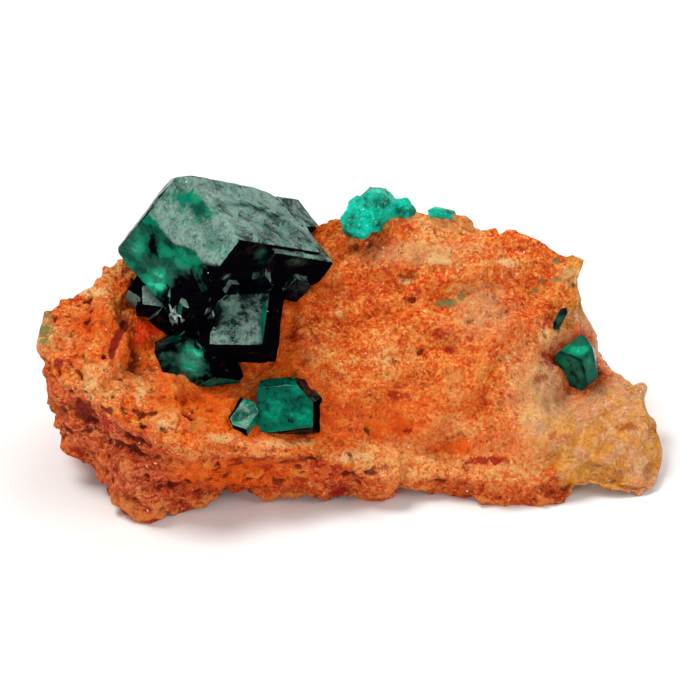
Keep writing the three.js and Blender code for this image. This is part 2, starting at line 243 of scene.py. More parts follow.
rightOne = {
    "rightOne": grown((18.5, 0.7, 8.9), (-0.1, -0.8, 0.6), 100, (1.75, 2.3, 2.6, 1.8, 0.9, 1.75), 5.2,
                      cuts=((40, 90, 1.2),), step=0.14, rings=18),
}
crestOne = {"crestOne": bud((8.6, 10.3, 15.9), (0.93, 0.1, -0.35), 0, 0.45, 2.6, step=0.12)}
edgeOne = {"edgeOne": bud((17.3, 4.8, 11), (0.45, 0.25, 0.85), 10, 0.3, 2.2, step=0.1)}
crystalFinish = {
    "edgeSharpness": 80, "creaseAngle": 32,
    "budStep": 0.2, "budRings": 10,
    "ringCrowding": 1.5,  # higher draws a face's rings closer to its outline
    # heights on a crystal whose faces lie fullSize from its middle, and less on a smaller one
    "fullSize": 6, "terraceHeight": 0.07, "terraceSize": 3.4, "terraceLevels": 2, "terraceStretch": 0.8,
    "waveHeight": 0.05, "waveSize": 1.3,
    "brokenAt": (-13.2, 0.2, 13.8), "brokenRadius": 2.6, "brokenHeight": 0.9, "brokenSize": 1.2,
    "brokenSharpness": 30, "brokenSink": 0.1,
    "seeds": {"terrace": 20, "wave": 40, "broken": 61},
}
cornerSlack = {"parallel": 1e-6, "inside": 1e-5, "onFace": 1e-4}


def crystalPlanes(crystal):
    # three end faces at each end, six sides and the cuts: outward normals and distances from the origin
    c = np.array(crystal["axis"], float)
    c /= np.linalg.norm(c)
    p = np.array([1.0, 0, 0]) - c * c[0]
    p /= np.linalg.norm(p)
    q = np.cross(c, p)
    tip = np.array(crystal["tip"], float)
    back = tip - c * crystal["length"]

    def leaning(azimuth, tilt):
        a, t = math.radians(azimuth), math.radians(tilt)
        return c * math.cos(t) + p * math.sin(t) * math.cos(a) + q * math.sin(t) * math.sin(a)

    normals = []
    distances = []

    def add(normal, point, distance=0):
        normals.append(normal)
        distances.append(normal @ point + distance)

    for k in range(3):
        add(leaning(crystal["turn"] + 120 * k, rhombTilt), tip)
        add(-leaning(crystal["turn"] + 120 * k, rhombTilt), back)
    for k, distance in enumerate(crystal["sides"]):
        add(leaning(crystal["turn"] + 30 + 60 * k, 90), tip, distance)
    for azimuth, tilt, distance in crystal.get("cuts", ()):
        add(leaning(azimuth, tilt), tip, distance)
    return np.array(normals), np.array(distances)


def facesInside(normals, distances):
    # the convex solid inside the planes: the corners where three planes meet, in order round each face
    corners = []
    for chosen in itertools.combinations(range(len(normals)), 3):
        rows = normals[list(chosen)]
        if abs(np.linalg.det(rows)) < cornerSlack["parallel"]:
            continue
        corner = np.linalg.solve(rows, distances[list(chosen)])
        if np.all(normals @ corner < distances + cornerSlack["inside"]):
            corners.append(corner)
    corners = np.unique(np.round(corners, 6), axis=0)
    faces = []
    for normal, distance in zip(normals, distances):
        on = corners[np.abs(corners @ normal - distance) < cornerSlack["onFace"]]
        if len(on) < 3:
            continue
        middle = on.mean(0)
        first = on[0] - middle
        first /= np.linalg.norm(first)
        second = np.cross(normal, first)
        faces.append(on[np.argsort(np.arctan2((on - middle) @ second, (on - middle) @ first))])
    return corners, faces


def faceGrid(face, step, rings):
    # a flat face as a grid of two parameters: round its outline, each edge in equal steps, and from the
    # middle out, the rings closer together near the outline
    middle = face.mean(0)
    outline = []
    for a, b in zip(face, np.roll(face, -1, axis=0)):
        count = max(2, round(np.linalg.norm(b - a) / step))
        t = np.arange(count)[:, None] / count
        outline.append(a + (b - a) * t)
    outline = np.concatenate(outline)
    out = 1 - (1 - np.arange(1, rings + 1) / rings) ** crystalFinish["ringCrowding"]
    grid = middle + (outline - middle) * out[:, None, None]
    points = np.concatenate([[middle], grid.reshape(-1, 3)])
    return points, *ringFaces(len(outline), rings)


def growthRelief(points, normal, depth, number):
    # how far a face stands out at each point: low terraces, gentle waves and the broken patch
    look, seeds = crystalFinish, crystalFinish["seeds"]
    scale = min(1, depth / look["fullSize"])
    stretched = points * (1 + look["terraceStretch"] * np.abs(np.roll(normal, 1)))
    level = softNoise(stretched, look["terraceSize"] * scale, seeds["terrace"] + number)
    relief = scale * look["terraceHeight"] * staircase(look["terraceLevels"] * level)
    relief += scale * look["waveHeight"] * softNoise(points, look["waveSize"] * scale, seeds["wave"] + number)
    away = np.linalg.norm(points - look["brokenAt"], axis=1) / look["brokenRadius"]
    facets = facetNoise(points, look["brokenSize"], seeds["broken"], look["brokenSharpness"])
    relief += look["brokenHeight"] * np.exp(-away ** 4) * (facets - look["brokenSink"])
    return relief


def softPolytope(points, middle, normals, depths, sharpness):
    # out from the middle to where the sum of each plane's share, to a high power, is 1: flat faces with
    # their edges a little rounded; depths has one column for each plane
    ray = points - middle
    ray /= np.linalg.norm(ray, axis=1)[:, None]
    share = np.maximum(ray @ normals.T, 1e-9) / depths
    highest = share.max(1)[:, None]
    reach = 1 / (highest[:, 0] * np.sum((share / highest) ** sharpness, 1) ** (1 / sharpness))
    return middle + ray * reach[:, None]


def solidPiece(name, normals, distances, step, rings, sharpness, relief):
    # a closed solid: a grid over each flat face inside the planes, pushed out to the softened faces
    corners, faces = facesInside(normals, distances)
    middle = corners.mean(0)
    points, fans, quads = [], [], []
    start = 0
    for face in faces:
        somePoints, fan, quad = faceGrid(face, step, rings)
        points.append(somePoints)
        fans.append(fan + start)
        quads.append(quad + start)
        start += len(somePoints)
    points = np.concatenate(points)
    flat = distances - normals @ middle
    depths = np.stack([
        depth + relief(points, normal, flat.mean(), number)
        for number, (normal, depth) in enumerate(zip(normals, flat))
    ], 1)
    points = softPolytope(points, middle, normals, depths, sharpness)
    piece = newPiece(name, points, [np.concatenate(fans), np.concatenate(quads)])
    weld(piece)
    return piece


def weld(piece):
    # merges the points that neighbouring faces share and turns every face outwards
    made = bmesh.new()
    made.from_mesh(piece.data)
    bmesh.ops.remove_doubles(made, verts=made.verts, dist=weldDistance)
    bmesh.ops.recalc_face_normals(made, faces=made.faces)
    made.to_mesh(piece.data)
    made.free()
    piece.data.shade_smooth()


def joined(name, pieces):
    # one closed solid from pieces that overlap
    whole = pieces[0]
    for other in pieces[1:]:
        join = whole.modifiers.new(other.name, "BOOLEAN")
        join.operation = "UNION"
        join.solver = "MANIFOLD"
        join.object = other
    depsgraph = bpy.context.evaluated_depsgraph_get()
    mesh = bpy.data.meshes.new_from_object(whole.evaluated_get(depsgraph))
    whole.modifiers.clear()
    whole.data = mesh
    for other in pieces[1:]:
        bpy.data.objects.remove(other)
    whole.name = name
    mesh.name = name
    keepOutside(whole)
    return whole


def keepOutside(piece):
    # deletes every shell but the largest: vertices take their neighbours' lowest number until none changes
    mesh = piece.data
    ends = np.empty(len(mesh.edges) * 2, np.int32)
    mesh.edges.foreach_get("vertices", ends)
    a, b = ends.reshape(-1, 2).T
    label = np.arange(len(mesh.vertices))
    while True:
        low = np.minimum(label[a], label[b])
        lower = label.copy()
        np.minimum.at(lower, a, low)
        np.minimum.at(lower, b, low)
        lower = lower[lower]
        if np.array_equal(lower, label):
            break
        label = lower
    shells, sizes = np.unique(label, return_counts=True)
    if len(shells) == 1:
        return
    made = bmesh.new()
    made.from_mesh(mesh)
    made.verts.ensure_lookup_table()
    inner = np.flatnonzero(label != shells[np.argmax(sizes)])
    bmesh.ops.delete(made, geom=[made.verts[i] for i in inner.tolist()], context="VERTS")
    made.to_mesh(mesh)
    made.free()


def grownPiece(name, crystals):
    # crystals grown together, as one solid
    look = crystalFinish
    return joined(name, [
        solidPiece(key, *crystalPlanes(crystal), crystal.get("step", look["budStep"]),
                   crystal.get("rings", look["budRings"]), look["edgeSharpness"], growthRelief)
        for key, crystal in crystals.items()
    ])


# The turquoise lump
turquoiseLumps = (
    {"middle": (0.6, 8.8, 16.5), "reach": (1.2, 1.3, 1.15), "seed": 3},
    {"middle": (2.1, 9.9, 17.1), "reach": (1.75, 1.4, 1.5), "seed": 8},
    {"middle": (4.1, 10.2, 16.8), "reach": (1.4, 1, 0.7), "seed": 12},
    {"middle": (1.3, 9.2, 16.9), "reach": (1.4, 1.3, 1.35), "seed": 5},
)
turquoiseShape = {
    "faces": 15, "turn": 2.4, "nearest": 0.88, "farthest": 1.12,
    "step": 0.06, "rings": 14, "edgeSharpness": 50, "creaseAngle": 40,
    "lumpHeight": 0.08, "lumpSize": 0.38, "lumpSeed": 5, "lumpSharpness": 30,
}


def lumpPlanes(lump):
    # faces spread evenly over a sphere along a spiral, each a little nearer to the middle or farther from
    # it than the lump's ellipsoid
    look = turquoiseShape
    k = np.arange(look["faces"])
    rise = 1 - (2 * k + 1) / look["faces"]
    around = look["turn"] * k + lump["seed"]
    flat = np.sqrt(1 - rise ** 2)
    normals = np.stack([flat * np.cos(around), flat * np.sin(around), rise], 1)
    radius = 1 / np.linalg.norm(normals / lump["reach"], axis=1)
    share = cellValue(k, 1, 2, lump["seed"])
    depth = radius * (look["nearest"] + (look["farthest"] - look["nearest"]) * share)
    return normals, normals @ lump["middle"] + depth


def sugarRelief(points, normal, depth, number):
    # the same small facets on every face
    look = turquoiseShape
    return look["lumpHeight"] * facetNoise(points, look["lumpSize"], look["lumpSeed"], look["lumpSharpness"])


def makeTurquoise():
    look = turquoiseShape
    return joined("turquoiseLump", [
        solidPiece("turquoise" + str(number), *lumpPlanes(lump), look["step"], look["rings"],
                   look["edgeSharpness"], sugarRelief)
        for number, lump in enumerate(turquoiseLumps)
    ])


# The block of rock
leftTip = (-25, 1.2, 9.8)
rightTip = (25, -1.3, 1.3)
# Rails from the left tip to the right one, and the share of the way round up to the next rail.
rails = {
    "foot": (0.13, (
        (-24.3, -0.8, 8.6), (-23.1, -3, 3), (-21.9, -4.4, 1.9), (-20.7, -4.9, 1.2), (-19.5, -6.3, 0.5),
        (-18.3, -7.6, 0), (-15.9, -9.2, 0), (-13.6, -7.9, 0), (-11.2, -6.9, 0.2), (-6.4, -5.9, 0.7),
        (-4, -5.7, 0.7), (-1.6, -6.1, 0.2), (1.6, -6, 0), (4.3, -5.4, 0.7), (6.7, -5.4, 0.5), (10.3, -5.8, 0),
        (14.3, -6.8, 0), (16.3, -6.6, 0), (17.8, -6, 0.6), (19, -5.6, 1), (20.6, -6, 0.2), (22.2, -5.9, 0),
        (23.8, -5.3, 0.3), (24.6, -4.6, 0.5),
    )),
    "ledge": (0.18, (
        (-24.3, -0.5, 9.3), (-23.1, -2.2, 8.8), (-21.9, -3.4, 8.9), (-20.7, -4.5, 8.9), (-18.3, -6.8, 8.6),
        (-15.9, -8.6, 8.2), (-13.6, -8.8, 6.9), (-11.2, -8.3, 6.3), (-6.4, -8, 5.8), (-1.6, -7.5, 4.8),
        (0.8, -7, 3.1), (3.9, -6, 1.6), (7.9, -5.6, 1.9), (14.3, -6.6, 1.7), (16.7, -5.8, 2.4), (19, -4.7, 3),
        (21.4, -4.9, 2.5), (23.4, -4.4, 1.8),
    )),
    "brow": (0.2, (
        (-24.3, 0.4, 10), (-23.1, -1.2, 10.2), (-20.7, -2, 10.6), (-18.3, -1.3, 10.6), (-16.9, 0.7, 10),
        (-15.1, 1.5, 9.8), (-11.2, 1.5, 10), (-6.4, 1, 10.6), (-1.6, 1, 10.2), (3.9, 2, 9.7), (9.5, 2, 9.1),
        (15.1, 2, 8.5), (17.8, 2, 7.4), (19.8, -0.4, 5.9), (23, -1, 4.3),
    )),
    "crest": (0.13, (
        (-24.3, 4, 11.2), (-23.1, 5, 11.4), (-21.9, 5.5, 11.6), (-20.7, 6, 12.3), (-19.5, 6.5, 13.7),
        (-18.3, 7, 13.9), (-15.9, 9.2, 13.7), (-11.2, 10.5, 14.8), (-6.4, 10.3, 15.2), (-2, 9.5, 16.7),
        (0.8, 9.7, 16.2), (4.9, 10, 17), (6.7, 10, 17.1), (9.1, 10, 16.5), (11.5, 9.8, 15),
        (13.9, 9.5, 14.5), (16.3, 9.2, 13.7), (17.8, 8.9, 13.4), (18.7, 8.3, 13.1), (19.1, 6.6, 8.4),
        (19.8, 3.2, 7.2), (21.4, 2.5, 6.5), (23.4, 2, 5.1), (24.6, 0.4, 2.8),
    )),
    "shoulder": (0.12, (
        (-24.3, 4, 9.3), (-23.1, 6.3, 8.6), (-20.7, 8.6, 8), (-15.9, 11.4, 8.6), (-11.2, 12.9, 9.3),
        (-6.4, 13.3, 9.2), (-1.6, 13.6, 9.6), (3.9, 13.9, 10.2), (9.5, 13.5, 9.4), (15.1, 12.4, 8.2),
        (18.3, 11, 6.8), (19.8, 8, 4.8), (23.4, 4, 3),
    )),
    "heel": (0.12, (
        (-24.3, 2.4, 8.4), (-23.1, 4.4, 4.2), (-20.7, 7, 1.2), (-15.9, 9.6, 0.1), (-11.2, 11.3, -0.2),
        (-1.6, 11.6, -0.2), (3.9, 12.1, -0.2), (9.5, 11.6, -0.2), (15.1, 10.4, -0.1), (18.3, 8.4, 0.3),
        (20.6, 5.6, 0.5), (23.4, 2.6, 0.8),
    )),
    "underside": (0.12, (
        (-24.3, 0.8, 8.5), (-23.1, 0.8, 3.6), (-20.7, 1, 1.3), (-18.3, 1, 0.1), (-15.9, 1, -0.6),
        (-11.2, 2, -0.7), (3.9, 2.6, -0.7), (15.1, 2, -0.7), (20.6, 0.2, -0.3), (23.4, -1, 0.6),
    )),
}
# Lumps and hollows: the middle, the radius and how far the skin stands out there.
lumps = {
    "knobCrevice": ((-21.4, -2.9, 9.5), 1.3, -0.8),
    "knobHollow": ((-16.9, 0.2, 9.8), 1.9, -0.7),
    "clusterHollow": ((-11.3, -1.5, 8.9), 2.4, -1.3),
    "squareHollow": ((-7.4, -0.6, 9.4), 1.9, -1.1),
    "leftKnob": ((-20.4, 1.2, 11.4), 2.6, 0.5),
    "leftGroove": ((-19.1, -5.7, 5.4), 1.5, -1.1),
    "leftCheek": ((-22.3, -3.4, 5.2), 1.9, 0.7),
    "paleRecess": ((18.2, 1.6, 6.9), 3.2, -1.2),
    "rightOverhang": ((18.5, 8, 10.4), 2, -1.4),
    "slopeStep": ((-13.4, -6.2, 7.8), 1.6, 0.45),
    "footCave": ((-8.2, -7.2, 2.6), 2.2, -0.9),
    "cliffRib": ((-4.6, -7.4, 3.4), 1.5, 0.7),
    "quartzBoss": ((16.9, -2.9, 4.2), 1.9, 0.5),
    "rightNotch": ((20.6, -5.2, 1.5), 1.7, -0.8),
    "faceSwell": ((9.5, 1.8, 9.2), 5, 0.5),
    "facePit": ((7.6, 3.8, 11), 1.1, -0.5),
}
block = {
    "along": 360, "around": 264, "frontShare": 0.62,  # share of the steps round that lie on the front
    "tipCrowding": 0.6, "tipFade": 0.03, "reach": (0.012, 0.03), "nearnessReach": 1.3,
    # from where to where each zone comes in: round the block, by its facing, to the left, and by its relief
    # for the painted shade in hollows and the painted highlight on ridges
    "face": (0.11, 0.15), "back": (0.6, 0.68), "facing": (-0.1, 0.2), "rugged": (9, 13),
    "hollow": (0.02, 0.32), "ridgeHighlight": (0.05, 0.36),
}
# Relief of the skin: height, height added on rugged ground, size and seed of each noise.
rockRelief = {
    "swells": (0.55, 0, 4.2, 1), "breaks": (1.1, 0, 3.6, 5), "chips": (0.3, 0, 1.7, 9),
    "grain": (0.11, 0.12, 0.85, 12), "crumbs": (0.07, 0.03, 0.5, 13), "knobs": (0, 0.22, 1.5, 21),
    "pits": (-0.18, -0.3, 1.5, 14), "pebbles": (0.36, 0, 1.5, 18), "smallPebbles": (0.08, 0, 0.7, 19),
}
pebbleSink = 0.2
cliffLedges = {"height": 0.32, "banding": (0.35, 1, 1.5), "levels": 1.6, "size": 1.9, "facets": 1.3}
upFront = np.array([0, 0.588, 0.809])  # up the front slope
toCamera = np.array([0, -0.809, 0.588])


def railAt(line, x):
    # y and z of a rail at each x, on straight lines between its points
    full = np.array([leftTip, *line, rightTip], float)
    return np.stack([np.interp(x, full[:, 0], full[:, 1]), np.interp(x, full[:, 0], full[:, 2])])


def skin(u, v):
    # the bare skin: u runs from left tip to right tip, and v round, on straight lines between the rails
    t = u + block["tipCrowding"] * (0.5 - 0.5 * np.cos(np.pi * u) - u)
    x = leftTip[0] + (rightTip[0] - leftTip[0]) * t
    shares = np.array([share for share, _ in rails.values()])
    ends = np.cumsum(shares)
    left = v - np.floor(v)
    i = np.minimum(np.searchsorted(ends, left), len(shares) - 1)
    s = np.clip((left - ends[i] + shares[i]) / shares[i], 0, 1)
    lines = np.stack([railAt(line, x) for _, line in rails.values()])
    number = np.arange(len(x))
    a = lines[i, :, number]
    b = lines[(i + 1) % len(shares), :, number]
    return np.column_stack([x, a + (b - a) * s[:, None]])


def outward(u, v):
    # the skin's normal, from the ways along and round it over a short reach
    du, dv = block["reach"]
    along = skin(np.minimum(u + du, 1), v) - skin(np.maximum(u - du, 0), v)
    around = skin(u, v + dv) - skin(u, v - dv)
    normal = np.cross(along, around)
    return normal / np.maximum(np.linalg.norm(normal, axis=1), 1e-9)[:, None]


# What the front of the block shows, placed by x and by height up its slope.
marks = {
    "red": (
        (-15.9, 10.1, 1.8, 1.1), (-22.9, 7.2, 0.9, 0.45), (-19.2, 2.6, 0.5, 1.1), (-21.7, 0.2, 0.9, 0.5),
        (-6.6, -1, 0.6, 0.35), (-2.6, -0.6, 0.9, 0.4), (7.2, 9.6, 0.9, 0.5), (7.9, 8.3, 0.5, 0.35),
        (15.7, 10.6, 0.9, 0.7), (15.9, 7.6, 0.8, 1), (-0.9, -2.8, 0.7, 0.4), (-4.5, 9.3, 1.2, 0.4),
        (18.6, -2.6, 0.9, 0.5), (3.6, 4.7, 0.7, 0.4), (11, -0.5, 2.2, 0.4), (4.6, 1.9, 0.5, 0.25),
    ),
    "pit": ((-15.8, 10.2, 1.6, 0.9), (-16.8, 9.2, 0.7, 0.6)),
    "groove": ((-18.9, 8.1, 0.3, 0.55), (-18.7, 8.8, 0.35, 0.55), (-18.4, 9.5, 0.35, 0.55),
               (-18, 10.2, 0.35, 0.55)),
    "green": (
        (7.6, 12.1, 1, 0.45), (14.7, 13.1, 0.4, 0.3), (16.5, 15.5, 0.35, 0.25), (15.3, 13.9, 0.5, 0.3),
        (16.6, 14, 0.4, 0.25), (-24.3, 10, 0.7, 1.6), (16.6, 10.5, 0.3, 0.8), (8.9, 12.6, 0.3, 0.4),
    ),
    "cream": (
        (-14.4, 2.6, 1.3, 0.9), (-16.6, 4.8, 0.5, 1.2), (-20.6, 5.6, 0.7, 1.4), (-5.5, 1, 3.5, 0.5),
        (0.2, -0.2, 2, 0.6), (-10.2, 1.4, 1.6, 0.5), (-0.9, 11.2, 0.6, 0.4), (4.4, 13.8, 0.8, 0.3),
        (-13.2, 6.4, 0.6, 0.8), (12.6, 15.3, 1.6, 0.4), (17.6, 14.4, 0.9, 1.2), (15.6, 9.4, 0.7, 1),
        (-20.3, 13, 1.8, 0.5), (7, 15.5, 1.5, 0.5), (-15.5, 9.6, 0.25, 0.9),
    ),
    "ledge": ((-12.5, 4.6, 4.2, 3.2), (-17, 7.8, 1.6, 1.6), (-8.5, 2.6, 3.5, 1.4), (-20.5, 10.5, 1.6, 1),
              (-9, -1.4, 6, 1.1), (3.4, 2.2, 2.6, 0.8), (8.2, 0.6, 2.2, 0.7), (-4.6, 6.6, 1.4, 1.6),
              (-13.8, 8.2, 1.4, 0.8)),
    "warm": ((2.5, 2.8, 9, 3), (-5, 8, 2.5, 3.5), (-19, 9, 5, 3), (11.5, 0.8, 4, 2.2)),
    "pink": ((-20.5, 2.5, 4, 4), (-16.5, -2, 3, 2)),
    "pale": ((15, 5, 3.2, 5), (6, 16, 6, 1.2), (10.5, 11.5, 3, 2.5)),
    "amber": ((16.1, 1.7, 0.45, 0.6), (17.2, 1.2, 0.9, 0.5), (22.2, 2.2, 0.9, 0.4), (15.2, 6.2, 0.7, 0.5)),
}
quartzEdge = {"slope": (-3.6, -1.2, 1.2, 6, 11.5), "x": (18.4, 16.2, 13.8, 14.6, 17.2), "wander": 0.9}


def markAmount(points, kind):
    # the largest of the marks' bell curves at each point
    height = points @ upFront
    total = np.zeros(len(points))
    for x, s, width, tall in marks[kind]:
        away = ((points[:, 0] - x) / width) ** 2 + ((height - s) / tall) ** 2
        total = np.maximum(total, np.exp(-away))
    return total


def crystalDistance(points):
    # how far each point is outside the nearest crystal
    nearest = np.full(len(points), 99.0)
    for crystal in itertools.chain(*(group.values() for group in (cluster, pair, rightOne))):
        normals, distances = crystalPlanes(crystal)
        nearest = np.minimum(nearest, (points @ normals.T - distances).max(1))
    return nearest


def makeBlock():
    # the skin on a grid of u and v, pushed along its normal by the noises and the lumps, cut at the ground
    around = block["around"]
    u = np.linspace(0, 1, block["along"] + 1)
    crest = sum(rails[name][0] for name in ("foot", "ledge", "brow"))
    front = round(around * block["frontShare"])
    v = np.concatenate([np.linspace(0, crest, front, endpoint=False),
                        np.linspace(crest, 1, around - front, endpoint=False)])
    gridU, gridV = (grid.ravel() for grid in np.meshgrid(u[1:-1], v, indexing="ij"))
    bare = skin(gridU, gridV)
    normal = outward(gridU, gridV)

    # zones
    facing = between(normal @ toCamera, *block["facing"])
    cliff = 1 - between(gridV, *block["face"]) * (1 - between(gridV, *block["back"]))
    edge = np.interp(bare @ upFront, quartzEdge["slope"], quartzEdge["x"])
    quartz = between(bare[:, 0] - edge - quartzEdge["wander"] * softNoise(bare, 2.2, 31), -1, 1)
    rugged = np.maximum(cliff, between(-bare[:, 0], *block["rugged"]))

    def relief(key, kind, *more):
        # a noise of rockRelief, higher on rugged ground
        height, extra, size, seed = rockRelief[key]
        return (height + extra * rugged) * kind(bare, size, seed, *more)

    def pitNoise(at, size, seed):
        # from 0 to 1 where a coarse and a fine smooth noise together are high
        return between(softNoise(at, size, seed) + 0.5 * softNoise(at, 0.5, seed + 1), 0.6, 0.95)

    rough = relief("swells", softNoise) + relief("breaks", facetNoise) + relief("chips", facetNoise)
    for at, radius, height in lumps.values():
        rough += height * np.exp(-(np.linalg.norm(bare - at, axis=1) / radius) ** 2)

    grain = relief("grain", facetNoise) + relief("crumbs", softNoise) + relief("knobs", facetNoise, 30)
    banded = bare * cliffLedges["banding"]
    ledges = 0.5 * staircase(cliffLedges["levels"] * softNoise(banded, cliffLedges["size"], 16))
    ledges += facetNoise(banded, cliffLedges["facets"], 17)
    pebbles = relief("pebbles", pebbleNoise) + relief("smallPebbles", pebbleNoise) - pebbleSink
    fine = grain * (1 - 0.5 * quartz) + relief("pits", pitNoise) * (1 - quartz) + pebbles * quartz
    fine += cliffLedges["height"] * cliff * ledges

    fade = ease(np.minimum(gridU, 1 - gridU) / block["tipFade"])
    points = bare + normal * ((rough + fine) * fade)[:, None]
    points[:, 2] = np.maximum(points[:, 2], 0)

    points = np.concatenate([[leftTip], points, [rightTip]])
    rings = block["along"] - 1
    firstFan, quads = ringFaces(around, rings)
    lastFan = np.column_stack([np.full(around, len(points) - 1), firstFan[:, [2, 1]] + (rings - 1) * around])
    piece = newPiece("rockBlock", points, [firstFan, lastFan, quads])

    def withTips(values):
        return np.concatenate([values[:1], values, values[-1:]])

    paint(piece, "quartz", withTips(quartz))
    paint(piece, "cliff", withTips(cliff))
    paint(piece, "hollow", withTips(between(-(fine + 0.12 * rough), *block["hollow"])))
    paint(piece, "ridgeHighlight", withTips(between(fine + 0.2 * rough, *block["ridgeHighlight"])))
    paint(piece, "crystalNearness", np.exp(-np.maximum(crystalDistance(points), 0) / block["nearnessReach"]))
    for kind in marks:
        paint(piece, kind, markAmount(points, kind) * withTips(facing))
    return piece


# Materials
def srgb(colour):
    # a colour for the shaders, from screen values of 0 to 255
    return tuple(c / 3294.6 if c <= 10 else ((c / 255 + 0.055) / 1.055) ** 2.4 for c in colour)


class Wire:
    # an output socket of a finish, with arithmetic that adds Math nodes
    def __init__(self, finish, socket):
        self.finish = finish
        self.socket = socket

    def maths(self, operation, *values):
        return self.finish.node("ShaderNodeMath", {"operation": operation}, dict(enumerate(values)))

    def __add__(self, other):
        return self.maths("ADD", self, other)

    def __sub__(self, other):
        return self.maths("SUBTRACT", self, other)

    def __mul__(self, other):
        return self.maths("MULTIPLY", self, other)

    def __rsub__(self, other):
        return self.maths("SUBTRACT", other, self)

    __radd__ = __add__
    __rmul__ = __mul__


class Finish:
    # a material: its nodes, with Object coordinates in millimetres
    def __init__(self, name):
        self.material = bpy.data.materials.new(name)
        self.material.use_nodes = True
        self.tree = self.material.node_tree
        self.tree.nodes.clear()
        self.output = self.tree.nodes.new("ShaderNodeOutputMaterial")
        coordinates = self.node("ShaderNodeTexCoord", {}, {}, "Object")
        scale = (1 / millimetre,) * 3
        self.place = self.node("ShaderNodeMapping", {}, {"Vector": coordinates, "Scale": scale})

    def node(self, kind, settings, sockets, output=0):
        made = self.tree.nodes.new(kind)
        for key, value in settings.items():
            setattr(made, key, value)
        for key, value in sockets.items():
            socket = made.inputs[key]
            if isinstance(value, Wire):
                self.tree.links.new(value.socket, socket)
            elif socket.type == "RGBA" and len(value) == 3:
                socket.default_value = (*srgb(value), 1)
            else:
                socket.default_value = value
        return Wire(self, made.outputs[output])

    def stretched(self, scale, turn=(0, 0, 0)):
        return self.node("ShaderNodeMapping", {}, {"Vector": self.place, "Scale": scale, "Rotation": turn})

    def noise(self, scale, detail, roughness, at=None, distortion=0):
        sockets = {"Vector": at or self.place, "Scale": scale, "Detail": detail, "Roughness": roughness,
                   "Distortion": distortion}
        return self.node("ShaderNodeTexNoise", {}, sockets)

    def cells(self, scale, output, feature="F1", at=None):
        sockets = {"Vector": at or self.place, "Scale": scale}
        return self.node("ShaderNodeTexVoronoi", {"feature": feature}, sockets, output)

    def grey(self, colour):
        return self.node("ShaderNodeSeparateColor", {}, {0: colour})

    def painted(self, name):
        return self.node("ShaderNodeAttribute", {"attribute_name": name}, {}, "Fac")

    def step(self, value, low, high):
        settings = {"interpolation_type": "SMOOTHSTEP"}
        return self.node("ShaderNodeMapRange", settings, {0: value, 1: low, 2: high, 3: 0, 4: 1})

    def mixed(self, amount, first, second, blend="MIX"):
        settings = {"data_type": "RGBA", "blend_type": blend}
        return self.node("ShaderNodeMix", settings, {0: amount, 6: first, 7: second}, 2)

    def layered(self, colour, colours, layers):
        # lays colours on: each comes in as its driver goes from low to high, up to its amount
        for driver, low, high, amount, name in layers:
            colour = self.mixed(self.step(driver, low, high) * amount, colour, colours[name])
        return colour

    def bump(self, height, depth, normal=None):
        sockets = {"Height": height, "Distance": depth * millimetre, "Strength": 1}
        if normal:
            sockets["Normal"] = normal
        return self.node("ShaderNodeBump", {}, sockets)

    def principled(self, sockets):
        return self.node("ShaderNodeBsdfPrincipled", {}, sockets)

    def blended(self, amount, first, second):
        return self.node("ShaderNodeMixShader", {}, {0: amount, 1: first, 2: second})

    def finished(self, shader, output="Surface"):
        self.tree.links.new(shader.socket, self.output.inputs[output])
        return self.material


rockLook = {
    "orange": (222, 98, 16), "salmon": (240, 146, 68), "rust": (176, 48, 4), "bright": (246, 96, 0),
    "darkRust": (104, 18, 4), "deepRed": (164, 10, 0), "cream": (254, 206, 138), "pinkBrown": (216, 116, 84),
    "brown": (142, 48, 14), "honey": (226, 162, 56), "pale": (236, 188, 128), "amber": (200, 96, 4),
    "green": (74, 124, 70), "white": (255, 244, 228), "warm": (228, 84, 10), "tan": (188, 78, 26),
    "pitRed": (255, 62, 4), "bloodRed": (128, 4, 2), "ochre": (226, 154, 36), "glassy": (220, 160, 112),
    "roughness": 0.62, "sparkleShine": 0.35, "specular": 0.15, "quartzRoughness": 0.25, "quartzShare": 0.8,
    "relief": 0.33, "fineGrain": 0.12, "quartzFacets": 0.3,  # bump depths
}


